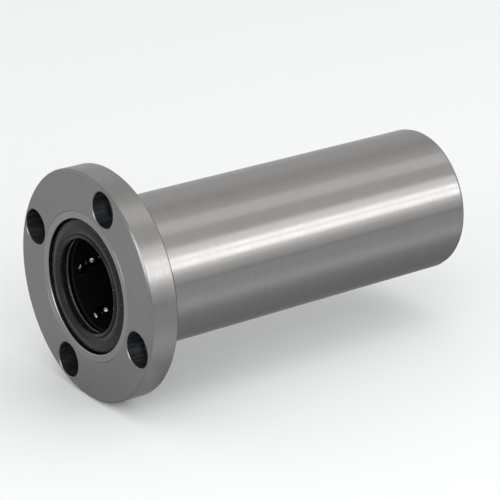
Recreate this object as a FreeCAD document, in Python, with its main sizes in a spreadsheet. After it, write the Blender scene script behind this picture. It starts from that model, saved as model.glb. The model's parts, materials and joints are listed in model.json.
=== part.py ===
import FreeCAD, Part
import os
import Sketcher

# Flanged linear ball bushing, long type with two ball cages, for a 25 mm shaft.
# Millimetres. +X is the bushing's axis, from the flange towards the rear end, and +Z is up.
# The origin is on the axis, in the flange's mounting face.
# The bushing is sized outwards from the shaft: shaft, ball, raceway wall, screw heads.

document = FreeCAD.newDocument("linear_ball_bushing")
sheet = document.addObject("Spreadsheet::Sheet", "sizes")

SIZES = [
    ("shaft_diameter", 25, "shaft that the bushing runs on"),
    ("body_length", 112, "outer cylinder, end to end"),
    ("race_wall", 3.511, "outer cylinder outside its raceway, which makes it 40 across"),
    ("rear_lead", 1, "lead-in on the outer cylinder's free end, along"),
    ("rear_lead_drop", 0.27, "lead-in on the outer cylinder's free end, across"),
    ("bore_chamfer", 0.2, "inner edge of both ends"),
    ("joint_chamfer", 0.12, "edge break along the line between flange and cylinder"),
    ("relief_width", 0.6, "run-out groove of the ground outside, against the flange"),
    ("relief_depth", 0.3, "run-out groove below the ground outside"),
    ("ball_diameter", 3.969, "5/32 inch steel balls"),
    ("ball_gap", 0.031, "room between neighbouring balls"),
    ("circuits", 6, "ball circuits round each cage"),
    ("row_angle", 2, "first loaded row, from +Y towards +Z"),
    ("race_clearance", 0.02, "loaded balls to raceway"),
    ("channel_clearance", 0.1, "balls to the cage's channels and the return grooves"),
    ("relief_gap", 0.15, "relief bore outside the turning balls"),
    ("cage_lift", 0.25, "cage bore outside the shaft"),
    ("cage_race_gap", 0.07, "cage inside the raceway"),
    ("cage_end_wall", 0.6, "cage material beyond the turns"),
    ("cage_chamfer", 0.3, "end edges of the cages and the spacer"),
    ("spacer_least", 1, "shortest spacer between the cages"),
    ("spacer_width", 3, "spacer, from its bore to its rim"),
    ("seal_step", 1.511, "seal seat outside the raceway, which makes it 36 across"),
    ("seal_recess", 0.25, "seal face below the end face"),
    ("seal_thickness", 2.75, "seal, front to back"),
    ("seal_corner", 1.5, "rounding of the seal's outer corner"),
    ("seal_mouth", 0.6, "seal's front opening outside the shaft"),
    ("seal_bead", 0.3, "flat bead round the seal's opening, across"),
    ("seal_groove_depth", 0.3, "groove outside the bead, and the width of its steep side"),
    ("seal_groove_slope", 0.9, "gentle side of the groove, across"),
    ("seal_lip_depth", 1.4, "lip below the seal's face"),
    ("seal_lip_land", 0.3, "stretch of the lip that wipes the shaft"),
    ("seal_undercut", 0.1, "rubber behind the lip, outside the washer's bore"),
    ("insert_thickness", 0.6, "steel washer in the seal's back"),
    ("insert_lift", 0.35, "washer's bore outside the shaft"),
    ("insert_outer_land", 0.6, "rubber outside the washer"),
    ("ring_thickness", 1, "retaining ring, along the axis"),
    ("ring_reach", 3, "retaining ring inside the seat"),
    ("ring_groove_depth", 0.7, "groove outside the seat"),
    ("ring_opening", 14, "angle that the retaining ring leaves open"),
    ("axial_gap", 0.05, "between pieces that are stacked along the axis"),
    ("seat_gap", 0.02, "between round pieces and the seats that hold them"),
    ("bolt_count", 4, "screws in the flange"),
    ("bolt_angle", 21.3, "first screw, from +Y towards +Z"),
    ("bolt_hole_diameter", 5.5, "clearance hole for an M5 screw"),
    ("bolt_head_diameter", 9.5, "counterbore for the screw's head"),
    ("bolt_head_depth", 5.4, "counterbore below the front face"),
    ("bolt_floor", 2.6, "flange under the screw's head"),
    ("bolt_wall", 0.75, "flange either side of a counterbore"),
    ("bolt_mouth_chamfer", 0.2, "edge break of a counterbore"),
    ("flange_chamfer", 0.5, "outer edges of the flange"),
    ("flange_fit_gap", 0.01, "flange pressed on the outer cylinder"),
]
for line, (name, size, note) in enumerate(SIZES, start=1):
    sheet.set(f"A{line}", note)
    sheet.set(f"B{line}", str(size))
    sheet.setAlias(f"B{line}", name)
document.recompute()

# Places worked out from the sizes, as formulas that the features are bound to.

shaft_radius = "(sizes.shaft_diameter / 2)"
ball_radius = "(sizes.ball_diameter / 2)"
pitch = "(sizes.ball_diameter + sizes.ball_gap)"
turn_radius = f"({pitch} / sqrt(2))"
row_radius = f"({shaft_radius} + {ball_radius})"
race_radius = f"({shaft_radius} + sizes.ball_diameter + sizes.race_clearance)"
body_radius = f"({race_radius} + sizes.race_wall)"
channel_radius = f"({ball_radius} + sizes.channel_clearance)"
return_radius = f"sqrt({row_radius}^2 + (2 * {turn_radius})^2)"
relief_radius = f"({return_radius} + {channel_radius} + sizes.relief_gap)"
seat_radius = f"({race_radius} + sizes.seal_step)"
groove_radius = f"({seat_radius} + sizes.ring_groove_depth)"
flange_thickness = "(sizes.bolt_head_depth + sizes.bolt_floor)"
flange_radius = f"({body_radius} + sizes.bolt_head_diameter + 2 * sizes.bolt_wall)"
bolt_radius = f"({body_radius} + sizes.bolt_wall + sizes.bolt_head_diameter / 2)"

# Depths from either end face of the bushing.

groove_near = "(sizes.seal_recess + sizes.seal_thickness)"
groove_far = f"({groove_near} + sizes.ring_thickness + 2 * sizes.axial_gap)"
cage_near = f"({groove_far} + sizes.axial_gap)"
turn_room = f"({turn_radius} + {channel_radius} + sizes.cage_end_wall)"
rows_room = f"(sizes.body_length / 2 - {cage_near} - sizes.axial_gap - sizes.spacer_least / 2 - 2 * {turn_room})"
row_balls = f"floor({rows_room} / {pitch})"
row_length = f"({row_balls} * {pitch})"
row_near = f"({cage_near} + {turn_room})"
row_far = f"({row_near} + {row_length})"
cage_length = f"({row_length} + 2 * {turn_room})"
spacer_length = f"(sizes.body_length - 2 * ({cage_near} + {cage_length} + sizes.axial_gap))"


def value(formula):
    return float(sheet.evalExpression(formula))


def new_body(label):
    body = document.addObject("PartDesign::Body", label)
    body.Label = label
    return body


def origin_feature(body, role):
    return next(feature for feature in body.Origin.OriginFeatures if feature.Role == role)


def new_sketch(body, role, name):
    sketch = body.newObject("Sketcher::SketchObject", name)
    sketch.AttachmentSupport = (origin_feature(body, role), "")
    sketch.MapMode = "FlatFace"
    return sketch


def bind(feature, **formulas):
    for name, formula in formulas.items():
        feature.setExpression(name.replace("__", "."), formula)


def hold_point(sketch, item, point, along, across):
    # Ties a point to the sketch's origin by two dimensions. "0" keeps it on an axis.
    for kind, formula, axis in (("DistanceX", along, -2), ("DistanceY", across, -1)):
        if formula == "0":
            sketch.addConstraint(Sketcher.Constraint("PointOnObject", item, point, axis))
        else:
            number = sketch.addConstraint(
                Sketcher.Constraint(kind, -1, 1, item, point, value(formula))
            )
            sketch.setExpression(f"Constraints[{number}]", formula)


def draw_outline(sketch, corners):
    points = [FreeCAD.Vector(value(along), value(across), 0) for along, across in corners]
    for index, point in enumerate(points):
        sketch.addGeometry(Part.LineSegment(points[index - 1], point))
    for index, (along, across) in enumerate(corners):
        following = (index + 1) % len(corners)
        sketch.addConstraint(Sketcher.Constraint("Coincident", index, 2, following, 1))
        hold_point(sketch, index, 2, along, across)


def draw_circle(sketch, along, across, radius):
    centre = FreeCAD.Vector(value(along), value(across), 0)
    item = sketch.addGeometry(Part.Circle(centre, FreeCAD.Vector(0, 0, 1), value(radius)))
    hold_point(sketch, item, 3, along, across)
    number = sketch.addConstraint(Sketcher.Constraint("Radius", item, value(radius)))
    sketch.setExpression(f"Constraints[{number}]", radius)


def turn_outline(body, corners, open_angle=None):
    # A turned piece: its half section, given as places along and away from the axis, spun round it.
    sketch = new_sketch(body, "XY_Plane", "half_section")
    draw_outline(sketch, corners)
    turned = body.newObject("PartDesign::Revolution", "turned")
    turned.Profile = sketch
    turned.ReferenceAxis = (sketch, ["H_Axis"])
    if open_angle:
        bind(turned, Angle=f"360 - {open_angle}")
    return turned


def repeat_round(body, features, count):
    pattern = body.newObject("PartDesign::PolarPattern", "round_the_axis")
    pattern.Originals = features
    pattern.Axis = (origin_feature(body, "X_Axis"), [""])
    pattern.Angle = 360
    bind(pattern, Occurrences=count)
    body.Tip = pattern


def place(body, along, angle="0", from_rear=False):
    # From the rear, depths run backwards and the piece is turned end for end.
    if from_rear:
        body.Placement = FreeCAD.Placement(FreeCAD.Vector(), FreeCAD.Rotation(FreeCAD.Vector(0, 0, 1), 180))
        bind(body, Placement__Base__x=f"sizes.body_length - {flange_thickness} - {along}")
    else:
        body.Placement = FreeCAD.Placement(FreeCAD.Vector(), FreeCAD.Rotation(FreeCAD.Vector(1, 0, 0), 1))
        bind(body, Placement__Base__x=f"{along} - {flange_thickness}", Placement__Rotation__Angle=angle)


# Outer cylinder: hardened steel tube with a raceway land over each cage's straight rows,
# relief bores where the balls turn, ring grooves and seal seats at both ends. Outside, a run-out
# groove against the flange lets the housing's bore seat square on the flange.

outer_cylinder = new_body("outer_cylinder")
end = "sizes.body_length"
turn_outline(outer_cylinder, [
    ("0", f"{body_radius} - sizes.joint_chamfer"),
    ("sizes.joint_chamfer", body_radius),
    (flange_thickness, body_radius),
    (flange_thickness, f"{body_radius} - sizes.relief_depth"),
    (f"{flange_thickness} + sizes.relief_width", f"{body_radius} - sizes.relief_depth"),
    (f"{flange_thickness} + sizes.relief_width", body_radius),
    (f"{end} - sizes.rear_lead", body_radius),
    (end, f"{body_radius} - sizes.rear_lead_drop"),
    (end, f"{seat_radius} + sizes.bore_chamfer"),
    (f"{end} - sizes.bore_chamfer", seat_radius),
    (f"{end} - {groove_near}", seat_radius),
    (f"{end} - {groove_near}", groove_radius),
    (f"{end} - {groove_far}", groove_radius),
    (f"{end} - {groove_far}", relief_radius),
    (f"{end} - {row_near}", relief_radius),
    (f"{end} - {row_near}", race_radius),
    (f"{end} - {row_far}", race_radius),
    (f"{end} - {row_far}", relief_radius),
    (row_far, relief_radius),
    (row_far, race_radius),
    (row_near, race_radius),
    (row_near, relief_radius),
    (groove_far, relief_radius),
    (groove_far, groove_radius),
    (groove_near, groove_radius),
    (groove_near, seat_radius),
    ("sizes.bore_chamfer", seat_radius),
    ("0", f"{seat_radius} + sizes.bore_chamfer"),
])
return_sketch = new_sketch(outer_cylinder, "YZ_Plane", "return_groove_section")
bind(return_sketch, AttachmentOffset__Base__y=f"-2 * {turn_radius}")
draw_circle(return_sketch, row_radius, "0", channel_radius)
return_groove = outer_cylinder.newObject("PartDesign::Pocket", "return_groove")
return_groove.Profile = return_sketch
return_groove.Reversed = True
bind(return_groove, Length=end)
repeat_round(outer_cylinder, [return_groove], "sizes.circuits")
place(outer_cylinder, "0", angle="sizes.row_angle")

# Flange: steel ring pressed on the cylinder's front end, flush with it, with counterbored holes.

flange = new_body("flange")
flange_bore = f"({body_radius} + sizes.flange_fit_gap)"
turn_outline(flange, [
    ("0", f"{flange_bore} + sizes.joint_chamfer"),
    ("sizes.joint_chamfer", flange_bore),
    (flange_thickness, flange_bore),
    (flange_thickness, f"{flange_radius} - sizes.flange_chamfer"),
    (f"{flange_thickness} - sizes.flange_chamfer", flange_radius),
    ("sizes.flange_chamfer", flange_radius),
    ("0", f"{flange_radius} - sizes.flange_chamfer"),
])
bolt_sketch = new_sketch(flange, "XY_Plane", "screw_hole_half_section")
bind(bolt_sketch, AttachmentOffset__Base__y=bolt_radius)
head_radius = "(sizes.bolt_head_diameter / 2)"
mouth_slope = "sizes.bolt_mouth_chamfer"
beyond_back = f"({flange_thickness} + {mouth_slope})"
draw_outline(bolt_sketch, [
    (f"-{mouth_slope}", "0"),
    (f"-{mouth_slope}", f"{head_radius} + 2 * {mouth_slope}"),
    (mouth_slope, head_radius),
    ("sizes.bolt_head_depth", head_radius),
    ("sizes.bolt_head_depth", "sizes.bolt_hole_diameter / 2"),
    (beyond_back, "sizes.bolt_hole_diameter / 2"),
    (beyond_back, "0"),
])
bolt_hole = flange.newObject("PartDesign::Groove", "screw_hole")
bolt_hole.Profile = bolt_sketch
bolt_hole.ReferenceAxis = (bolt_sketch, ["H_Axis"])
repeat_round(flange, [bolt_hole], "sizes.bolt_count")
place(flange, "0", angle="sizes.bolt_angle")

# Ball cages: two alike, moulded tubes with a racetrack channel for each circuit. The channels
# break through inwards under the loaded rows and outwards over the return rows.


def add_turn_channel(body, name, along, towards_front):
    sketch = new_sketch(body, "YZ_Plane", f"{name}_section")
    bind(sketch, AttachmentOffset__Base__z=along, AttachmentOffset__Base__y=f"-{turn_radius}")
    draw_circle(sketch, row_radius, turn_radius, channel_radius)
    channel = body.newObject("PartDesign::Groove", name)
    channel.Profile = sketch
    channel.ReferenceAxis = (sketch, ["H_Axis"])
    channel.Angle = 180
    channel.Reversed = towards_front
    return channel


def add_row_channel(body, name, offset):
    sketch = new_sketch(body, "YZ_Plane", f"{name}_section")
    bind(sketch, AttachmentOffset__Base__z=turn_room, AttachmentOffset__Base__y=offset)
    draw_circle(sketch, row_radius, "0", channel_radius)
    channel = body.newObject("PartDesign::Pocket", name)
    channel.Profile = sketch
    channel.Reversed = True
    bind(channel, Length=row_length)
    return channel


def make_cage(label, along):
    cage = new_body(label)
    bore = f"({shaft_radius} + sizes.cage_lift)"
    rim = f"({race_radius} - sizes.cage_race_gap)"
    turn_outline(cage, [
        ("0", f"{bore} + sizes.cage_chamfer"),
        ("sizes.cage_chamfer", bore),
        (f"{cage_length} - sizes.cage_chamfer", bore),
        (cage_length, f"{bore} + sizes.cage_chamfer"),
        (cage_length, f"{rim} - sizes.cage_chamfer"),
        (f"{cage_length} - sizes.cage_chamfer", rim),
        ("sizes.cage_chamfer", rim),
        ("0", f"{rim} - sizes.cage_chamfer"),
    ])
    channels = [
        add_row_channel(cage, "loaded_channel", "0"),
        add_row_channel(cage, "return_channel", f"-2 * {turn_radius}"),
        add_turn_channel(cage, "front_turn_channel", turn_room, towards_front=True),
        add_turn_channel(cage, "rear_turn_channel", f"{turn_room} + {row_length}", towards_front=False),
    ]
    repeat_round(cage, channels, "sizes.circuits")
    place(cage, along, angle="sizes.row_angle")
    return cage


front_cage = make_cage("front_cage", cage_near)
rear_cage_near = f"(sizes.body_length - {cage_near} - {cage_length})"
rear_cage = make_cage("rear_cage", rear_cage_near)

# Spacer: plain ring that keeps the two cages apart.

cage_spacer = new_body("cage_spacer")
spacer_rim = f"({race_radius} - sizes.cage_race_gap)"
spacer_bore = f"({spacer_rim} - sizes.spacer_width)"
turn_outline(cage_spacer, [
    ("0", spacer_bore),
    (spacer_length, spacer_bore),
    (spacer_length, f"{spacer_rim} - sizes.cage_chamfer"),
    (f"{spacer_length} - sizes.cage_chamfer", spacer_rim),
    ("sizes.cage_chamfer", spacer_rim),
    ("0", f"{spacer_rim} - sizes.cage_chamfer"),
])
place(cage_spacer, f"({cage_near} + {cage_length} + sizes.axial_gap)")

# Both ends are closed alike: a rubber wiping seal with a steel washer in its back, and behind it
# a retaining ring that keeps the cages in. The seal's opening tapers to its lip, and behind the lip
# the washer's bare bore shows.

same_place = 1e-4


def round_edge(body, along, radius, size):
    # Rounds the circular edge of that radius that lies at that place along the axis.
    document.recompute()
    solid = body.Tip
    for number, edge in enumerate(solid.Shape.Edges, start=1):
        box = edge.BoundBox
        if max(abs(box.XMax - value(along)), abs(box.XMin - value(along))) < same_place:
            if abs(box.YMax - value(radius)) < same_place:
                rounding = body.newObject("PartDesign::Fillet", "rounding")
                rounding.Base = (solid, [f"Edge{number}"])
                bind(rounding, Radius=size)
                return


def make_seal(label, from_rear):
    seal = new_body(label)
    rim = f"({seat_radius} - sizes.seat_gap)"
    mouth = f"({shaft_radius} + sizes.seal_mouth)"
    groove_bottom = f"({mouth} + sizes.seal_bead + sizes.seal_groove_depth)"
    washer_front = "(sizes.seal_thickness - sizes.insert_thickness)"
    turn_outline(seal, [
        ("0", mouth),
        ("sizes.seal_lip_depth", shaft_radius),
        ("sizes.seal_lip_depth + sizes.seal_lip_land", shaft_radius),
        (washer_front, f"{washer_bore} + sizes.seal_undercut"),
        (washer_front, washer_seat_rim),
        ("sizes.seal_thickness", washer_seat_rim),
        ("sizes.seal_thickness", rim),
        ("0", rim),
        ("0", f"{groove_bottom} + sizes.seal_groove_slope"),
        ("sizes.seal_groove_depth", groove_bottom),
        ("0", f"{mouth} + sizes.seal_bead"),
    ])
    round_edge(seal, "0", rim, "sizes.seal_corner")
    place(seal, "sizes.seal_recess", from_rear=from_rear)


def make_seal_insert(label, from_rear):
    insert = new_body(label)
    rim = f"({washer_seat_rim} - sizes.seat_gap)"
    thickness = "(sizes.insert_thickness - sizes.seat_gap)"
    turn_outline(insert, [
        ("0", washer_bore),
        (thickness, washer_bore),
        (thickness, rim),
        ("0", rim),
    ])
    place(insert, f"({groove_near} - {thickness})", from_rear=from_rear)


def make_retaining_ring(label, from_rear):
    ring = new_body(label)
    bore = f"({seat_radius} - sizes.ring_reach)"
    rim = f"({groove_radius} - sizes.seat_gap)"
    turn_outline(ring, [
        ("0", bore),
        ("sizes.ring_thickness", bore),
        ("sizes.ring_thickness", rim),
        ("0", rim),
    ], open_angle="sizes.ring_opening")
    place(ring, f"({groove_near} + sizes.axial_gap)", from_rear=from_rear)


washer_bore = f"({shaft_radius} + sizes.insert_lift)"
washer_seat_rim = f"({seat_radius} - sizes.insert_outer_land)"
for end_name, at_rear in (("front", False), ("rear", True)):
    make_seal(f"{end_name}_seal", at_rear)
    make_seal_insert(f"{end_name}_seal_insert", at_rear)
    make_retaining_ring(f"{end_name}_retaining_ring", at_rear)

# Balls: each circuit is a flat racetrack square to its loaded row's radius. The straights hold
# whole pitches, and each turn holds two balls a quarter turn apart.


def add_ball(body, along, offset):
    ball = body.newObject("PartDesign::AdditiveSphere", "ball")
    bind(ball, Radius=ball_radius)
    bind(ball, Placement__Base__x=along, Placement__Base__y=row_radius, Placement__Base__z=offset)
    return ball


def make_row(label, along, offset, angle):
    row = new_body(label)
    ball = add_ball(row, f"{pitch} / 2", offset)
    train = row.newObject("PartDesign::LinearPattern", "train")
    train.Originals = [ball]
    train.Direction = (origin_feature(row, "X_Axis"), [""])
    bind(train, Length=f"({row_balls} - 1) * {pitch}", Occurrences=row_balls)
    row.Tip = train
    place(row, along, angle)


def make_turn(label, along, side, angle):
    # The body's own origin is the turn's centre, half way between the two rows.
    turn = new_body(label)
    ball = add_ball(turn, f"{side} * {pitch} / 2", f"{side} * {pitch} / 2")
    pair = turn.newObject("PartDesign::PolarPattern", "pair")
    pair.Originals = [ball]
    pair.Axis = (origin_feature(turn, "Y_Axis"), [""])
    pair.Angle = 90
    pair.Occurrences = 2
    turn.Tip = pair
    place(turn, along, angle)
    bind(turn, Placement__Base__y=f"{turn_radius} * sin({angle})")
    bind(turn, Placement__Base__z=f"-{turn_radius} * cos({angle})")


for cage_name, cage_start in (("front", cage_near), ("rear", rear_cage_near)):
    rows_start = f"({cage_start} + {turn_room})"
    rows_end = f"({rows_start} + {row_length})"
    for circuit in range(int(value("sizes.circuits"))):
        angle = f"(sizes.row_angle + 360 * {circuit} / sizes.circuits)"
        number = circuit + 1
        make_row(f"{cage_name}_loaded_balls_{number}", rows_start, "0", angle)
        make_row(f"{cage_name}_return_balls_{number}", rows_start, f"-2 * {turn_radius}", angle)
        make_turn(f"{cage_name}_cage_front_turn_balls_{number}", rows_start, -1, angle)
        make_turn(f"{cage_name}_cage_rear_turn_balls_{number}", rows_end, 1, angle)

document.recompute()
for item in document.Objects:
    if "Invalid" in item.State or "Error" in item.State:
        raise RuntimeError(f"{item.Label} could not be made: {item.State}")
bodies = [item for item in document.Objects if item.TypeId == "PartDesign::Body"]
for body in bodies:
    if body.Shape.isNull() or not body.Shape.isValid():
        raise RuntimeError(f"{body.Label} has no valid solid")

os.makedirs("parts", exist_ok=True)
for body in bodies:
    body.Shape.exportStep(f"parts/{body.Label}.step")
    print(body.Label, len(body.Shape.Solids), round(body.Shape.Volume, 2))
print("body diameter", round(2 * value(body_radius), 3), "seal seat", round(2 * value(seat_radius), 3))
print("flange", round(2 * value(flange_radius), 3), "by", value(flange_thickness))
print("screw circle", round(2 * value(bolt_radius), 3), "balls in a row", value(row_balls))
print("row start", round(value(row_near), 4), "spacer", round(value(spacer_length), 4))
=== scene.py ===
import json
import math

import bpy
from mathutils import Matrix, Vector


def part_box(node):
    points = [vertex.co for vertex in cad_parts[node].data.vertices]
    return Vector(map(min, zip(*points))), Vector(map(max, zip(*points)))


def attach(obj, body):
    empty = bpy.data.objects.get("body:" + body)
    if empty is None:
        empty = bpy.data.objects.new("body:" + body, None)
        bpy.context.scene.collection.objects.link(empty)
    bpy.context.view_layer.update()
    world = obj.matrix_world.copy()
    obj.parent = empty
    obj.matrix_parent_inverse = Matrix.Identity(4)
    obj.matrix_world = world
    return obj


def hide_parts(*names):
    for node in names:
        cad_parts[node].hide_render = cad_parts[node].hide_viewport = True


# Flanged linear ball bushing, long type. Metres. +X runs along the bushing's axis from the flange
# to the free end, +Z is up, and the origin lies on the axis in the flange's mounting face.
# Sizes of single features are written in millimetres and turned to metres where they are used.

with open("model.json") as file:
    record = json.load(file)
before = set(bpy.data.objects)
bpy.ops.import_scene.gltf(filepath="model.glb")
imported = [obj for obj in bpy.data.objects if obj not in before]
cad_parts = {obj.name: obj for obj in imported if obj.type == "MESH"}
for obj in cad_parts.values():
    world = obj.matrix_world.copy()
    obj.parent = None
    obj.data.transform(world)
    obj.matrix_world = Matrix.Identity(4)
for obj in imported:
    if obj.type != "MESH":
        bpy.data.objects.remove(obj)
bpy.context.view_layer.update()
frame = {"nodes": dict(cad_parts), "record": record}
nodes = frame["nodes"]
mounts = {mount["name"]: mount["dims"] for mount in frame["record"]["mounts"]}
MM = 0.001

# Outer cylinder: a tube of through-hardened bearing steel. It is turned, then ground on the outside
# and on its two raceways, and it carries everything else. Here it is turned from its half section
# in the same way, and the six grooves for the returning balls are cut along its bore.

cylinder_low, cylinder_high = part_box("outer_cylinder")
front_face = cylinder_low.x / MM
rear_face = cylinder_high.x / MM
body_radius = -cylinder_low.y / MM
seat_radius = 18.0
ring_groove_radius = 18.7
relief_radius = 17.784
race_radius = 16.489
seat_depth = 3.0
ring_groove_width = 1.15
row_start = 9.663
row_length = 40.0
joint_chamfer = 0.08
joint_edge = 0.04
rear_lead = 1.0
rear_lead_drop = 0.27
bore_chamfer = 0.2
run_out_width = 0.6
run_out_depth = 0.3
circuits = 6
return_groove_radius = 2.085
return_groove_sides = 48
edge_break = 0.06


def turn(name, corners, stations=256, closed=True):
    """Turns a piece on the bushing's axis from its half section, given as places along and off it in mm."""
    points = [Vector((along, off, 0)) * MM for along, off in corners]
    path = points + points[:1] if closed else points
    bpy.ops.object.select_all(action="DESELECT")
    bpy.ops.mesh.primitive_plane_add(size=MM, location=points[0])
    piece = bpy.context.object
    piece.name = piece.data.name = name
    bpy.ops.object.transform_apply(location=True)
    bpy.ops.object.mode_set(mode="EDIT")
    bpy.ops.mesh.select_mode(type="VERT")
    bpy.ops.mesh.select_all(action="SELECT")
    bpy.ops.mesh.merge(type="CENTER")
    for start, end in zip(path, path[1:]):
        bpy.ops.mesh.extrude_vertices_move(TRANSFORM_OT_translate={"value": end - start})
    bpy.ops.mesh.select_all(action="SELECT")
    bpy.ops.mesh.remove_doubles(threshold=1e-7)
    bpy.ops.mesh.spin(steps=stations, angle=2 * math.pi, center=(0, 0, 0), axis=(1, 0, 0))
    bpy.ops.mesh.select_all(action="SELECT")
    bpy.ops.mesh.remove_doubles(threshold=1e-7)
    bpy.ops.mesh.normals_make_consistent(inside=False)
    bpy.ops.object.mode_set(mode="OBJECT")
    return piece


def round_edges(piece, circles, size, segments=3):
    """Rounds the turned edges that lie at these places along and off the axis, all in mm."""
    near = 0.01 * MM
    mesh = piece.data

    def on_circle(vertex):
        off = math.hypot(vertex.co.y, vertex.co.z)
        return any(
            abs(vertex.co.x - along * MM) < near and abs(off - away * MM) < near for along, away in circles
        )

    picked = [on_circle(vertex) for vertex in mesh.vertices]
    bpy.ops.object.mode_set(mode="EDIT")
    bpy.ops.mesh.select_mode(type="EDGE")
    bpy.ops.mesh.select_all(action="DESELECT")
    bpy.ops.object.mode_set(mode="OBJECT")
    for edge in mesh.edges:
        first, second = edge.vertices
        same_place = abs(mesh.vertices[first].co.x - mesh.vertices[second].co.x) < near
        edge.select = picked[first] and picked[second] and same_place
    bpy.ops.object.mode_set(mode="EDIT")
    bpy.ops.mesh.bevel(offset=size * MM, segments=segments, affect="EDGES")
    bpy.ops.object.mode_set(mode="OBJECT")


def use_modifier(piece, kind, **settings):
    """Adds a modifier with its settings and applies it."""
    bpy.ops.object.select_all(action="DESELECT")
    bpy.context.view_layer.objects.active = piece
    piece.select_set(True)
    modifier = piece.modifiers.new(kind.lower(), kind)
    for name, value in settings.items():
        setattr(modifier, name, value)
    bpy.ops.object.modifier_apply(modifier=modifier.name)


def cut(piece, cutter):
    use_modifier(piece, "BOOLEAN", object=cutter, operation="DIFFERENCE", solver="EXACT")
    bpy.data.objects.remove(cutter)


def smooth(piece, angle=35):
    """Soft shading on what was turned round, crisp edges elsewhere, and flat faces that stay flat."""
    bpy.ops.object.select_all(action="DESELECT")
    bpy.context.view_layer.objects.active = piece
    piece.select_set(True)
    bpy.ops.object.shade_smooth_by_angle(angle=math.radians(angle))
    use_modifier(piece, "WEIGHTED_NORMAL", keep_sharp=True, weight=100)


def from_rear(corners):
    """The same half section seen from the other end face, in reverse order, so that it stays one outline."""
    return [(front_face + rear_face - along, off) for along, off in reversed(corners)]


front_end = [
    (front_face + row_start + row_length, race_radius),
    (front_face + row_start, race_radius),
    (front_face + row_start, relief_radius),
    (front_face + seat_depth + ring_groove_width, relief_radius),
    (front_face + seat_depth + ring_groove_width, ring_groove_radius),
    (front_face + seat_depth, ring_groove_radius),
    (front_face + seat_depth, seat_radius),
    (front_face + bore_chamfer, seat_radius),
    (front_face, seat_radius + bore_chamfer),
]
cylinder = turn("ground_cylinder", [
    (front_face, body_radius - joint_edge),
    (front_face + joint_edge, body_radius),
    (0, body_radius),
    (0, body_radius - run_out_depth),
    (run_out_width, body_radius - run_out_depth),
    (run_out_width, body_radius),
    (rear_face - rear_lead, body_radius),
    (rear_face, body_radius - rear_lead_drop),
    *from_rear(front_end),
    (rear_face - row_start - row_length, relief_radius),
    (front_face + row_start + row_length, relief_radius),
    *front_end,
])
round_edges(cylinder, [
    (rear_face, body_radius - rear_lead_drop),
    (rear_face, seat_radius + bore_chamfer),
    (rear_face - bore_chamfer, seat_radius),
    (front_face, seat_radius + bore_chamfer),
    (front_face + bore_chamfer, seat_radius),
], edge_break)
for circuit in range(1, circuits + 1):
    row_low, row_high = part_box(f"front_return_balls_{circuit}")
    row_centre = (row_low + row_high) / 2
    bpy.ops.mesh.primitive_cylinder_add(
        vertices=return_groove_sides,
        radius=return_groove_radius * MM,
        depth=(rear_face - front_face - 2 * seat_depth) * MM,
        location=((front_face + rear_face) / 2 * MM, row_centre.y, row_centre.z),
        rotation=(0, math.pi / 2, 0),
    )
    cut(cylinder, bpy.context.object)
smooth(cylinder)


def linear(code):
    """The linear colour of an sRGB hex code."""
    parts = [int(code[i:i + 2], 16) / 255 for i in (1, 3, 5)]
    return tuple(p / 12.92 if p <= 0.04045 else ((p + 0.055) / 1.055) ** 2.4 for p in parts) + (1.0,)


def add_node(tree, kind, inputs={}, **settings):
    """Adds a node with its settings. An input is a value, or the output that it is linked to."""
    node = tree.nodes.new(kind)
    for name, value in settings.items():
        setattr(node, name, value)
    for name, value in inputs.items():
        if isinstance(value, bpy.types.NodeSocket):
            tree.links.new(value, node.inputs[name])
        else:
            node.inputs[name].default_value = value
    return node


def new_material(name):
    material = bpy.data.materials.new(name)
    material.use_nodes = True
    material.node_tree.nodes.clear()
    return material


def dress(piece, material):
    piece.data.materials.clear()
    piece.data.materials.append(material)


def grain_scale(*lengths):
    """The scale that makes a pattern's grains about as long as this along X, Y and Z, in mm."""
    return tuple(1 / (length * MM) for length in lengths)


# Centreless-ground bearing steel: the wheel leaves fine marks round the tube, so reflections stay
# crisp across the tube and run along it, with faint bands where the wheel cut a little deeper.
# Real marks are about 0.02 mm apart, too fine to show, so they are drawn 0.4 mm apart.

ground_mark_pitch = 0.4
ground_mark_reach = 14.0
ground_band_width = 6.0
ground_band_reach = 42.0
ground_mark_depth = 0.0006

ground_steel = new_material("centreless_ground_steel")
tree = ground_steel.node_tree
place = add_node(tree, "ShaderNodeTexCoord").outputs["Object"]
marks_place = add_node(tree, "ShaderNodeMapping", {
    "Vector": place,
    "Scale": grain_scale(ground_mark_pitch, ground_mark_reach, ground_mark_reach),
})
marks = add_node(tree, "ShaderNodeTexNoise", {
    "Vector": marks_place.outputs[0], "Scale": 1.0, "Detail": 3.0, "Roughness": 0.6,
}).outputs["Fac"]
bands_place = add_node(tree, "ShaderNodeMapping", {
    "Vector": place,
    "Scale": grain_scale(ground_band_width, ground_band_reach, ground_band_reach),
})
bands = add_node(tree, "ShaderNodeTexNoise", {
    "Vector": bands_place.outputs[0], "Scale": 1.0, "Detail": 2.0,
}).outputs["Fac"]
tone = add_node(tree, "ShaderNodeMix", {
    "Factor": marks, "A": linear("#848382"), "B": linear("#8d8c8b"),
}, data_type="RGBA")
dullness = add_node(tree, "ShaderNodeMapRange", {
    "Value": bands, "From Min": 0.3, "From Max": 0.7, "To Min": 0.17, "To Max": 0.23,
})
relief = add_node(tree, "ShaderNodeBump", {
    "Height": marks, "Strength": 1.0, "Distance": ground_mark_depth * MM,
})
round_the_axis = add_node(tree, "ShaderNodeTangent", direction_type="RADIAL", axis="X")
steel = add_node(tree, "ShaderNodeBsdfPrincipled", {
    "Base Color": tone.outputs["Result"],
    "Metallic": 1.0,
    "Specular Tint": linear("#d2d2d2"),
    "Roughness": dullness.outputs[0],
    "Anisotropic": 0.5,
    "Anisotropic Rotation": 0.25,
    "Tangent": round_the_axis.outputs[0],
    "Normal": relief.outputs[0],
})
add_node(tree, "ShaderNodeOutputMaterial", {"Surface": steel.outputs[0]})
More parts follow.
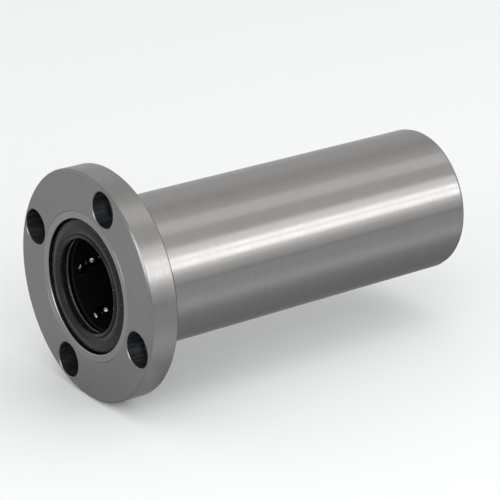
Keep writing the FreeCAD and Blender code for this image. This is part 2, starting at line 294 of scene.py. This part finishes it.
dress(cylinder, ground_steel)
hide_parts("outer_cylinder")
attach(cylinder, "bushing")

# Flange: a steel ring, turned all over and pressed on the tube's front end, flush with it. Four
# screws hold the bushing, and their heads sink in counterbores. The fine line between the two
# pieces is where their edges are broken.

flange_low, flange_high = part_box("flange")
flange_radius = flange_high.y / MM
fit_gap = 0.01
flange_chamfer = 0.5
screw_count = mounts["flange_bolts"]["count"]
screw_circle_radius = mounts["flange_bolts"]["pcd_mm"] / 2
screw_hole_radius = mounts["flange_bolts"]["hole_r_mm"]
first_screw_angle = 21.3
head_radius = 4.75
head_depth = 5.4
mouth_chamfer = 0.2
drill_corner = 0.15
drill_stations = 96
scale_start = 0.02

flange = turn("turned_flange", [
    (front_face, body_radius + fit_gap + joint_chamfer),
    (front_face + joint_chamfer, body_radius + fit_gap),
    (0, body_radius + fit_gap),
    (0, flange_radius - flange_chamfer),
    (-flange_chamfer, flange_radius),
    (front_face + flange_chamfer, flange_radius),
    (front_face, flange_radius - flange_chamfer),
])
round_edges(flange, [
    (0, flange_radius - flange_chamfer),
    (-flange_chamfer, flange_radius),
    (front_face + flange_chamfer, flange_radius),
    (front_face, flange_radius - flange_chamfer),
], edge_break)
step_drill = turn("step_drill", [
    (front_face - mouth_chamfer, 0),
    (front_face - mouth_chamfer, head_radius + 2 * mouth_chamfer),
    (front_face + mouth_chamfer, head_radius),
    (front_face + head_depth, head_radius),
    (front_face + head_depth, screw_hole_radius),
    (mouth_chamfer, screw_hole_radius),
    (mouth_chamfer, 0),
], stations=drill_stations, closed=False)
round_edges(step_drill, [(front_face + head_depth, head_radius)], drill_corner)
for number in range(screw_count):
    angle = math.radians(first_screw_angle + 360 / screw_count * number)
    drill = bpy.data.objects.new("drill", step_drill.data.copy())
    bpy.context.collection.objects.link(drill)
    drill.location = Vector((0, math.cos(angle), math.sin(angle))) * screw_circle_radius * MM
    cut(flange, drill)
bpy.data.objects.remove(step_drill)
smooth(flange)


def inside_a_screw_hole(spot):
    """Whether a point of the flange lies in one of its holes, past the edge of the mouth."""
    turned_back = math.degrees(math.atan2(spot.z, spot.y)) - first_screw_angle
    off_hole = (turned_back + 180 / screw_count) % (360 / screw_count) - 180 / screw_count
    off_axis = math.hypot(spot.y, spot.z)
    sideways = off_axis * math.sin(math.radians(off_hole))
    outwards = off_axis * math.cos(math.radians(off_hole)) - screw_circle_radius * MM
    in_a_hole = math.hypot(sideways, outwards) < (head_radius + scale_start) * MM
    return in_a_hole and spot.x > (front_face + scale_start) * MM


# Turned mild steel: the rim is turned fine and still mirrors the lights as soft bands. The faces are
# lapped flat after it, which makes them an even satin grey with a fine mottle, and the chamfers are a
# little darker than the rim. The tool's feed of about 0.1 mm and the lapping grit are too fine to
# show, and are drawn as 0.35 mm and 0.7 mm.

turning_feed = 0.35
turning_depth = 0.001
lapping_grain = 0.7
lapping_depth = 0.003
stain_width = 9.0
face_dullness = 0.37

turned_steel = new_material("turned_and_lapped_steel")
tree = turned_steel.node_tree
place = add_node(tree, "ShaderNodeTexCoord").outputs["Object"]
parts = add_node(tree, "ShaderNodeSeparateXYZ", {"Vector": place})
off_axis = add_node(tree, "ShaderNodeVectorMath", {
    0: add_node(tree, "ShaderNodeCombineXYZ", {"Y": parts.outputs["Y"], "Z": parts.outputs["Z"]}).outputs[0],
}, operation="LENGTH").outputs["Value"]
ring_place = add_node(tree, "ShaderNodeCombineXYZ", {"X": parts.outputs["X"], "Y": off_axis})
rings = add_node(tree, "ShaderNodeTexNoise", {
    "Vector": ring_place.outputs[0], "Scale": 1 / (turning_feed * MM), "Detail": 2.0,
}, noise_dimensions="2D").outputs["Fac"]
normal = add_node(tree, "ShaderNodeNewGeometry").outputs["True Normal"]
endwise = add_node(tree, "ShaderNodeSeparateXYZ", {"Vector": normal}).outputs["X"]
facing = add_node(tree, "ShaderNodeMath", {0: endwise}, operation="ABSOLUTE").outputs[0]
on_face = add_node(tree, "ShaderNodeMapRange", {
    "Value": facing, "From Min": 0.75, "From Max": 0.95,
}).outputs[0]
on_chamfer = add_node(tree, "ShaderNodeMapRange", {
    "Value": facing, "From Min": 0.3, "From Max": 0.6,
}).outputs[0]
mottle = add_node(tree, "ShaderNodeTexNoise", {
    "Vector": place, "Scale": 1 / (lapping_grain * MM), "Detail": 3.0, "Roughness": 0.7,
}).outputs["Fac"]
stains = add_node(tree, "ShaderNodeTexNoise", {
    "Vector": place, "Scale": 1 / (stain_width * MM), "Detail": 4.0, "Roughness": 0.6,
}).outputs["Fac"]
rim_tone = add_node(tree, "ShaderNodeMix", {
    "Factor": stains, "A": linear("#7f7e7d"), "B": linear("#878685"),
}, data_type="RGBA").outputs["Result"]
grey = add_node(tree, "ShaderNodeMix", {
    "Factor": mottle, "A": linear("#636363"), "B": linear("#929292"),
}, data_type="RGBA").outputs["Result"]
face_tone = add_node(tree, "ShaderNodeMix", {
    "Factor": stains, "A": grey, "B": linear("#818080"),
}, data_type="RGBA").outputs["Result"]
edge_tone = add_node(tree, "ShaderNodeMix", {
    "Factor": on_chamfer, "A": rim_tone, "B": linear("#747372"),
}, data_type="RGBA").outputs["Result"]
tone = add_node(tree, "ShaderNodeMix", {
    "Factor": on_face, "A": edge_tone, "B": face_tone,
}, data_type="RGBA")
rim_dullness = add_node(tree, "ShaderNodeMapRange", {
    "Value": rings, "From Min": 0.3, "From Max": 0.7, "To Min": 0.22, "To Max": 0.3,
})
dullness = add_node(tree, "ShaderNodeMix", {
    "Factor": on_face, "A": rim_dullness.outputs[0], "B": face_dullness,
})
height = add_node(tree, "ShaderNodeMix", {"Factor": on_face, "A": rings, "B": mottle})
depth = add_node(tree, "ShaderNodeMix", {
    "Factor": on_face, "A": turning_depth * MM, "B": lapping_depth * MM,
})
relief = add_node(tree, "ShaderNodeBump", {
    "Height": height.outputs["Result"], "Strength": 1.0, "Distance": depth.outputs["Result"],
})
round_the_axis = add_node(tree, "ShaderNodeTangent", direction_type="RADIAL", axis="X")
steel = add_node(tree, "ShaderNodeBsdfPrincipled", {
    "Base Color": tone.outputs["Result"],
    "Metallic": 1.0,
    "Specular Tint": linear("#d2d2d2"),
    "Roughness": dullness.outputs["Result"],
    "Anisotropic": 0.5,
    "Anisotropic Rotation": 0.25,
    "Tangent": round_the_axis.outputs[0],
    "Normal": relief.outputs[0],
})
add_node(tree, "ShaderNodeOutputMaterial", {"Surface": steel.outputs[0]})
dress(flange, turned_steel)

# The screw holes still have the scale of the heat treatment, because only the outside is turned
# again after it: a thin, dark, dull oxide, with slightly paler streaks down the wall.

scale_streak_width = 0.7
scale_streak_length = 5.0

scale = new_material("heat_treatment_scale")
tree = scale.node_tree
place = add_node(tree, "ShaderNodeTexCoord").outputs["Object"]
streak_place = add_node(tree, "ShaderNodeMapping", {
    "Vector": place,
    "Scale": grain_scale(scale_streak_length, scale_streak_width, scale_streak_width),
})
streaks = add_node(tree, "ShaderNodeTexNoise", {
    "Vector": streak_place.outputs[0], "Scale": 1.0, "Detail": 3.0, "Roughness": 0.6,
}).outputs["Fac"]
tone = add_node(tree, "ShaderNodeMapRange", {"Value": streaks, "From Min": 0.45, "From Max": 0.75})
oxide_colour = add_node(tree, "ShaderNodeMix", {
    "Factor": tone.outputs[0], "A": linear("#2b2e31"), "B": linear("#484d51"),
}, data_type="RGBA")
dullness = add_node(tree, "ShaderNodeMapRange", {"Value": streaks, "To Min": 0.3, "To Max": 0.6})
oxide = add_node(tree, "ShaderNodeBsdfPrincipled", {
    "Base Color": oxide_colour.outputs["Result"],
    "Metallic": 0.7,
    "Roughness": dullness.outputs[0],
})
add_node(tree, "ShaderNodeOutputMaterial", {"Surface": oxide.outputs[0]})
flange.data.materials.append(scale)
for face in flange.data.polygons:
    if inside_a_screw_hole(face.center):
        face.material_index = 1
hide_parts("flange")
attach(flange, "bushing")

# Cages: two alike, moulded in black acetal, end to end in the tube. Each holds six closed rings of
# balls in racetrack channels. A plain ring of the same acetal keeps them apart. The moulded skin is
# black and dull, with a fine grain that breaks up its highlights.

cage_grain = 0.25
cage_grain_depth = 0.004
cage_flow_width = 5.0

acetal = new_material("moulded_black_acetal")
tree = acetal.node_tree
place = add_node(tree, "ShaderNodeTexCoord").outputs["Object"]
grain = add_node(tree, "ShaderNodeTexNoise", {
    "Vector": place, "Scale": 1 / (cage_grain * MM), "Detail": 3.0,
}).outputs["Fac"]
flow = add_node(tree, "ShaderNodeTexNoise", {
    "Vector": place, "Scale": 1 / (cage_flow_width * MM), "Detail": 2.0,
}).outputs["Fac"]
tone = add_node(tree, "ShaderNodeMix", {
    "Factor": flow, "A": linear("#030303"), "B": linear("#060606"),
}, data_type="RGBA")
dullness = add_node(tree, "ShaderNodeMapRange", {"Value": flow, "To Min": 0.55, "To Max": 0.7})
relief = add_node(tree, "ShaderNodeBump", {
    "Height": grain, "Strength": 1.0, "Distance": cage_grain_depth * MM,
})
skin = add_node(tree, "ShaderNodeBsdfPrincipled", {
    "Base Color": tone.outputs["Result"],
    "IOR": 1.48,
    "Specular IOR Level": 0.12,
    "Roughness": dullness.outputs[0],
    "Normal": relief.outputs[0],
})
add_node(tree, "ShaderNodeOutputMaterial", {"Surface": skin.outputs[0]})
for name in ("front_cage", "rear_cage", "cage_spacer"):
    nodes[name].material_slots[0].material = acetal

# Balls: 288 of through-hardened chrome steel, 5/32 inch across, in twelve closed rings. They are
# lapped to a mirror, so each shows the bright end of the bore as a small sharp glint.

ball_film_width = 1.2

ball_steel = new_material("lapped_chrome_steel")
tree = ball_steel.node_tree
place = add_node(tree, "ShaderNodeTexCoord").outputs["Object"]
film = add_node(tree, "ShaderNodeTexNoise", {
    "Vector": place, "Scale": 1 / (ball_film_width * MM), "Detail": 2.0,
}).outputs["Fac"]
tone = add_node(tree, "ShaderNodeMix", {
    "Factor": film, "A": linear("#747476"), "B": linear("#808082"),
}, data_type="RGBA")
dullness = add_node(tree, "ShaderNodeMapRange", {"Value": film, "To Min": 0.08, "To Max": 0.14})
steel = add_node(tree, "ShaderNodeBsdfPrincipled", {
    "Base Color": tone.outputs["Result"],
    "Metallic": 1.0,
    "Roughness": dullness.outputs[0],
})
add_node(tree, "ShaderNodeOutputMaterial", {"Surface": steel.outputs[0]})
for name, node in nodes.items():
    if "balls" in name:
        node.material_slots[0].material = ball_steel

# Retaining rings: flat rings of spring steel in a groove at each end, which keep the cages in.
# They are phosphated, which leaves a dark grey, faintly crystalline skin.

crystal_width = 0.3
crystal_depth = 0.003

phosphated_steel = new_material("phosphated_spring_steel")
tree = phosphated_steel.node_tree
place = add_node(tree, "ShaderNodeTexCoord").outputs["Object"]
crystals = add_node(tree, "ShaderNodeTexVoronoi", {"Vector": place, "Scale": 1 / (crystal_width * MM)})
tone = add_node(tree, "ShaderNodeMix", {
    "Factor": crystals.outputs["Distance"], "A": linear("#2c2d2e"), "B": linear("#3d3e3f"),
}, data_type="RGBA")
relief = add_node(tree, "ShaderNodeBump", {
    "Height": crystals.outputs["Distance"], "Strength": 1.0, "Distance": crystal_depth * MM,
})
steel = add_node(tree, "ShaderNodeBsdfPrincipled", {
    "Base Color": tone.outputs["Result"],
    "Metallic": 0.6,
    "Roughness": 0.55,
    "Normal": relief.outputs[0],
})
add_node(tree, "ShaderNodeOutputMaterial", {"Surface": steel.outputs[0]})
for name in ("front_retaining_ring", "rear_retaining_ring"):
    nodes[name].material_slots[0].material = phosphated_steel

# Seals: nitrile rubber moulded on a steel washer, one in each end bore. A bead runs round the mouth
# with a groove outside it, and from the groove the face is crowned up and falls away to the rim.
# Inside the mouth the rubber narrows to the lip that wipes the shaft.

seal_low, seal_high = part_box("front_seal")
seal_front = seal_low.x / MM
seal_back = seal_high.x / MM
seal_radius = seal_high.y / MM
shaft_radius = mounts["shaft_bore"]["r_mm"]
mouth_rise = 0.6
mouth_throat_depth = 0.4
mouth_throat_rise = 0.12
bead_width = 0.3
groove_depth = 0.45
crown_from_mouth = 0.6
crown_radius = 3.0
crown_tilt = 29.0
shoulder_start = 17.0
shoulder_radius = 1.6
shoulder_tilt = 15.0
rim_tilt = 55.0
crown_steps = 10
lip_depth = 1.4
lip_land = 0.3
bead_round = 0.1
washer_seat_bore = 13.1
washer_seat_rim = 17.4
washer_seat_depth = 0.6


def arc(start, radius, first_tilt, last_tilt, steps):
    """Places along a rounding from a start, between two tilts off the end face, in mm and degrees."""
    along, off = start
    first = math.radians(first_tilt)
    last = math.radians(last_tilt)
    places = []
    for step in range(steps + 1):
        tilt = first + (last - first) * step / steps
        inwards = radius * (math.cos(first) - math.cos(tilt))
        outwards = radius * (math.sin(tilt) - math.sin(first))
        places.append((along + inwards, off + outwards))
    return places


mouth = shaft_radius + mouth_rise
throat = (seal_front + mouth_throat_depth, shaft_radius + mouth_throat_rise)
groove = (seal_front + groove_depth, mouth + crown_from_mouth)
crown = arc(groove, crown_radius, -crown_tilt, shoulder_tilt, crown_steps)
crown_along, crown_off = crown[-1]
slope_end = crown_along + (shoulder_start - crown_off) * math.tan(math.radians(shoulder_tilt))
shoulder = arc((slope_end, shoulder_start), shoulder_radius, shoulder_tilt, rim_tilt, crown_steps)
front_seal = turn("front_wiping_seal", [
    (seal_front, mouth),
    throat,
    (seal_front + lip_depth, shaft_radius),
    (seal_front + lip_depth + lip_land, shaft_radius),
    (seal_back - washer_seat_depth, washer_seat_bore),
    (seal_back - washer_seat_depth, washer_seat_rim),
    (seal_back, washer_seat_rim),
    (seal_back, seal_radius),
    *[(along, min(off, seal_radius)) for along, off in reversed(shoulder)],
    *reversed(crown),
    (seal_front, mouth + bead_width),
])
round_edges(front_seal, [(seal_front, mouth), (seal_front, mouth + bead_width), throat], bead_round)


def copy_to_rear(piece, name):
    """A copy of a piece, turned end for end to the bushing's rear."""
    half_turn = Matrix.Rotation(math.pi, 4, "Z")
    copy = piece.copy()
    copy.data = piece.data.copy()
    copy.name = copy.data.name = name
    bpy.context.collection.objects.link(copy)
    copy.data.transform(Matrix.Translation(((front_face + rear_face) * MM, 0, 0)) @ half_turn)
    return copy


rear_seal = copy_to_rear(front_seal, "rear_wiping_seal")

# Moulded nitrile rubber: almost black, satin, with a faint film of dust and a few pale specks. The
# grain that the mould leaves is too fine to show, and is drawn as 0.18 mm.

speck_spacing = 1.1
speck_radius = 0.16
rubber_grain = 0.18
rubber_grain_depth = 0.004
dust_width = 4.0

rubber = new_material("moulded_nitrile_rubber")
tree = rubber.node_tree
place = add_node(tree, "ShaderNodeTexCoord").outputs["Object"]
grain = add_node(tree, "ShaderNodeTexNoise", {
    "Vector": place, "Scale": 1 / (rubber_grain * MM), "Detail": 2.0,
}).outputs["Fac"]
dust = add_node(tree, "ShaderNodeTexNoise", {
    "Vector": place, "Scale": 1 / (dust_width * MM), "Detail": 4.0, "Roughness": 0.65,
}).outputs["Fac"]
tone = add_node(tree, "ShaderNodeMix", {
    "Factor": dust, "A": linear("#080808"), "B": linear("#131514"),
}, data_type="RGBA")
cells = add_node(tree, "ShaderNodeTexVoronoi", {"Vector": place, "Scale": 1 / (speck_spacing * MM)})
speck = add_node(tree, "ShaderNodeMapRange", {
    "Value": cells.outputs["Distance"],
    "From Min": 0.5 * speck_radius / speck_spacing,
    "From Max": speck_radius / speck_spacing,
    "To Min": 0.7,
    "To Max": 0.0,
})
speckled = add_node(tree, "ShaderNodeMix", {
    "Factor": speck.outputs[0], "A": tone.outputs["Result"], "B": linear("#5c6661"),
}, data_type="RGBA")
dullness = add_node(tree, "ShaderNodeMapRange", {"Value": dust, "To Min": 0.22, "To Max": 0.32})
relief = add_node(tree, "ShaderNodeBump", {
    "Height": grain, "Strength": 1.0, "Distance": rubber_grain_depth * MM,
})
skin = add_node(tree, "ShaderNodeBsdfPrincipled", {
    "Base Color": speckled.outputs["Result"],
    "IOR": 1.5,
    "Specular IOR Level": 0.17,
    "Roughness": dullness.outputs[0],
    "Normal": relief.outputs[0],
})
add_node(tree, "ShaderNodeOutputMaterial", {"Surface": skin.outputs[0]})
for seal, node in ((front_seal, "front_seal"), (rear_seal, "rear_seal")):
    smooth(seal)
    dress(seal, rubber)
    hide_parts(node)
    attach(seal, "bushing")

# Seal washers: pressed from sheet and moulded into the back of each seal. The bore stands bare behind
# the lip. Its front half is coined wider, and the shoulder that this leaves catches the light.

washer_low, washer_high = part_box("front_seal_insert")
washer_front = washer_low.x / MM
washer_back = washer_high.x / MM
washer_bore = 12.85
coin_start = 0.33
coin_end = 0.47
coin_round = 0.05

front_washer = turn("front_seal_washer", [
    (washer_front, washer_seat_bore),
    (washer_front + coin_start, washer_seat_bore),
    (washer_front + coin_end, washer_bore),
    (washer_back, washer_bore),
    (washer_back, washer_high.y / MM),
    (washer_front, washer_high.y / MM),
])
round_edges(front_washer, [
    (washer_front + coin_start, washer_seat_bore),
    (washer_front + coin_end, washer_bore),
], coin_round)
rear_washer = copy_to_rear(front_washer, "rear_seal_washer")

# Cold-rolled sheet steel: rolling leaves fine straight lines in the sheet. They are too fine to show,
# and are drawn 0.3 mm apart.

rolling_mark_pitch = 0.3
rolling_mark_length = 8.0

sheet_steel = new_material("cold_rolled_sheet_steel")
tree = sheet_steel.node_tree
place = add_node(tree, "ShaderNodeTexCoord").outputs["Object"]
rolled_place = add_node(tree, "ShaderNodeMapping", {
    "Vector": place,
    "Scale": grain_scale(rolling_mark_pitch, rolling_mark_pitch, rolling_mark_length),
})
rolled = add_node(tree, "ShaderNodeTexNoise", {
    "Vector": rolled_place.outputs[0], "Scale": 1.0, "Detail": 3.0,
}).outputs["Fac"]
tone = add_node(tree, "ShaderNodeMix", {
    "Factor": rolled, "A": linear("#626261"), "B": linear("#70706f"),
}, data_type="RGBA")
dullness = add_node(tree, "ShaderNodeMapRange", {"Value": rolled, "To Min": 0.28, "To Max": 0.42})
steel = add_node(tree, "ShaderNodeBsdfPrincipled", {
    "Base Color": tone.outputs["Result"],
    "Metallic": 1.0,
    "Roughness": dullness.outputs[0],
})
add_node(tree, "ShaderNodeOutputMaterial", {"Surface": steel.outputs[0]})
for washer, node in ((front_washer, "front_seal_insert"), (rear_washer, "rear_seal_insert")):
    smooth(washer)
    dress(washer, sheet_steel)
    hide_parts(node)
    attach(washer, "bushing")

# Studio: a pale floor under the flange's rim, a pale sky with a darker band behind, softboxes, and
# two glowing cards with painted shade that only reflections show. The floor is matt white paper.

floor_size = 6.0
bpy.ops.mesh.primitive_plane_add(size=floor_size, location=(0, 0, flange_low.z))
floor = bpy.context.object
floor.name = "floor"
paper = new_material("white_paper")
tree = paper.node_tree
surface = add_node(tree, "ShaderNodeBsdfPrincipled", {
    "Base Color": linear("#d4d7d8"), "Roughness": 0.9, "Specular IOR Level": 0.0,
})
add_node(tree, "ShaderNodeOutputMaterial", {"Surface": surface.outputs[0]})
dress(floor, paper)

# Sky: the darker band lies round this share of +Y in the direction looked in, and fades out on both
# sides of it. The tube mirrors it along its upper side.

dark_band_behind = 0.37
dark_band_reach = 0.34
world = bpy.data.worlds.new("studio")
bpy.context.scene.world = world
world.use_nodes = True
tree = world.node_tree
tree.nodes.clear()
direction = add_node(tree, "ShaderNodeTexCoord").outputs["Generated"]
behind = add_node(tree, "ShaderNodeSeparateXYZ", {"Vector": direction}).outputs["Y"]
off_dark_band = add_node(tree, "ShaderNodeMath", {
    0: add_node(tree, "ShaderNodeMath", {0: behind, 1: dark_band_behind}, operation="SUBTRACT").outputs[0],
}, operation="ABSOLUTE")
sky = add_node(tree, "ShaderNodeMapRange", {
    "Value": off_dark_band.outputs[0], "From Max": dark_band_reach, "To Min": 0.95, "To Max": 1.18,
}, interpolation_type="SMOOTHSTEP")
background = add_node(tree, "ShaderNodeBackground", {
    "Color": linear("#fffdfc"), "Strength": sky.outputs[0],
})
add_node(tree, "ShaderNodeOutputWorld", {"Surface": background.outputs[0]})

# Softboxes along the bushing: two strips side by side in front make the split highlight, with a glow
# round them, and a weaker box overhead makes the faint band. A square one lights the flange's face.

softbox_distance = 0.9
softbox_length = 2.0
softbox_centre = 0.45


def softbox(name, first_angle, last_angle, radiance, colour="#ffffff"):
    """A soft light along the bushing, between two angles round its axis from +Y towards +Z."""
    middle = math.radians((first_angle + last_angle) / 2)
    half = math.radians((last_angle - first_angle) / 2)
    light = bpy.data.lights.new(name, "AREA")
    light.shape = "RECTANGLE"
    light.size = softbox_length
    light.color = linear(colour)[:3]
    light.size_y = 2 * softbox_distance * math.tan(half)
    light.energy = radiance * math.pi * light.size * light.size_y
    lamp = bpy.data.objects.new(name, light)
    bpy.context.collection.objects.link(lamp)
    outwards = Vector((0, math.cos(middle), math.sin(middle)))
    along = Vector((1, 0, 0))
    turned = Matrix((along, outwards.cross(along), outwards)).transposed()
    spot = Vector((softbox_centre, 0, 0)) + outwards * softbox_distance
    lamp.matrix_world = Matrix.Translation(spot) @ turned.to_4x4()


softbox("glow", 133, 173, 0.55)
softbox("upper_glow", 134, 148, 0.55)
softbox("upper_strip", 147.5, 153.3, 2.7)
softbox("lower_strip", 155.3, 164.5, 2.5)
softbox("overhead", 90, 110, 0.45, "#fbfff6")

side_radiance = 3.0
side_light = bpy.data.lights.new("side_softbox", "AREA")
side_light.shape = "SQUARE"
side_light.size = 0.45
side_light.energy = side_radiance * math.pi * side_light.size**2
side_lamp = bpy.data.objects.new("side_softbox", side_light)
bpy.context.collection.objects.link(side_lamp)
towards_side = Vector((-0.83, -0.4, 0.38)).normalized()
side_turned = towards_side.to_track_quat("Z", "Y").to_matrix()
side_lamp.matrix_world = Matrix.Translation(towards_side * softbox_distance) @ side_turned.to_4x4()

# Front card: a glowing card that only reflections show. It stands low in front of the tube, and its
# glow is painted darker towards its foot, which paints the thin dark line under the highlight.

card_distance = 0.2
card_height = 0.03
card_length = 2.0


def reflected_card(name, centre, width, height, turned, material):
    """A flat card that only reflections show."""
    bpy.ops.mesh.primitive_plane_add(size=1.0, location=centre, rotation=turned)
    card = bpy.context.object
    card.name = name
    card.scale = (width, height, 1.0)
    card.visible_camera = False
    card.visible_diffuse = False
    card.visible_shadow = False
    dress(card, material)


# This material paints shade on the front card: its glow falls from its top to its foot.
painted_shade_card = new_material("painted_shade_card")
tree = painted_shade_card.node_tree
height = add_node(tree, "ShaderNodeSeparateXYZ", {
    "Vector": add_node(tree, "ShaderNodeTexCoord").outputs["Object"],
}).outputs["Y"]
shade = add_node(tree, "ShaderNodeMapRange", {
    "Value": height, "From Min": -0.4, "From Max": 0.5, "To Min": 0.5, "To Max": 1.15,
})
surface = add_node(tree, "ShaderNodeEmission", {"Color": (1, 1, 1, 1), "Strength": shade.outputs[0]})
add_node(tree, "ShaderNodeOutputMaterial", {"Surface": surface.outputs[0]})
reflected_card(
    "front_card", (softbox_centre, -card_distance, flange_low.z + card_height / 2),
    card_length, card_height, (math.pi / 2, 0, 0), painted_shade_card,
)

# Painted shadow card: a glowing card that only reflections show, lying on the floor under the tube.
# Its levels paint the floor's shadow, darkest beneath the tube and with a brighter band in front,
# and so paint the shade on the tube's lower half. Its levels are given from front to back, each with
# its place off the axis in mm.

painted_floor_shadow = (
    (-180, 0.84),
    (-110, 0.82),
    (-67, 0.84),
    (-51, 1.15),
    (-39, 0.82),
    (-32, 0.62),
    (-22, 0.57),
    (20, 0.36),
)
grey_front = -200
grey_back = 30
grey_start = 0.004
grey_length = 0.6
grey_lift = 0.001
grey_red = 0.97

# This material paints the floor's shadow under the tube as a glow that only reflections show.
painted_shadow_card = new_material("painted_shadow_card")
tree = painted_shadow_card.node_tree
across = add_node(tree, "ShaderNodeSeparateXYZ", {
    "Vector": add_node(tree, "ShaderNodeTexCoord").outputs["Object"],
}).outputs["Y"]
from_front = add_node(tree, "ShaderNodeMath", {0: across, 1: 0.5}, operation="ADD").outputs[0]
levels = add_node(tree, "ShaderNodeValToRGB", {"Fac": from_front})
ramp = levels.color_ramp
ramp.interpolation = "B_SPLINE"
for number, (off_axis, level) in enumerate(painted_floor_shadow):
    spot = (off_axis - grey_front) / (grey_back - grey_front)
    stop = ramp.elements[number] if number < 2 else ramp.elements.new(spot)
    stop.position = spot
    stop.color = (grey_red * level, level, level, 1.0)
surface = add_node(tree, "ShaderNodeEmission", {"Color": levels.outputs["Color"], "Strength": 1.0})
add_node(tree, "ShaderNodeOutputMaterial", {"Surface": surface.outputs[0]})
reflected_card(
    "painted_shadow_card",
    (grey_length / 2 + grey_start, (grey_front + grey_back) / 2 * MM, flange_low.z + grey_lift),
    grey_length, (grey_back - grey_front) * MM, (0, 0, 0), painted_shadow_card,
)

# Camera: the photograph's view, found from the ellipses of the flange, bores and free end.

view_azimuth = math.radians(-36.40)
view_elevation = math.radians(21.48)
view_distance = 585.44
shift_right = -36.03
shift_down = 7.77
focal_pixels = 2260.36
frame_pixels = 500
sensor_width = 36.0

back = Vector((
    math.sin(view_azimuth) * math.cos(view_elevation),
    -math.cos(view_azimuth) * math.cos(view_elevation),
    math.sin(view_elevation),
))
right = (-back).cross(Vector((0, 0, 1))).normalized()
up = back.cross(right)
camera_data = bpy.data.cameras.new("camera")
camera_data.lens = focal_pixels / frame_pixels * sensor_width
camera_data.sensor_width = sensor_width
camera = bpy.data.objects.new("camera", camera_data)
bpy.context.collection.objects.link(camera)
eye = (back * view_distance - right * shift_right + up * shift_down) * MM
camera.matrix_world = Matrix.Translation(eye) @ Matrix((right, up, back)).transposed().to_4x4()
camera_data.clip_start = 0.01
camera_data.clip_end = 20.0
bpy.context.scene.camera = camera
bpy.context.scene.view_settings.view_transform = "Standard"
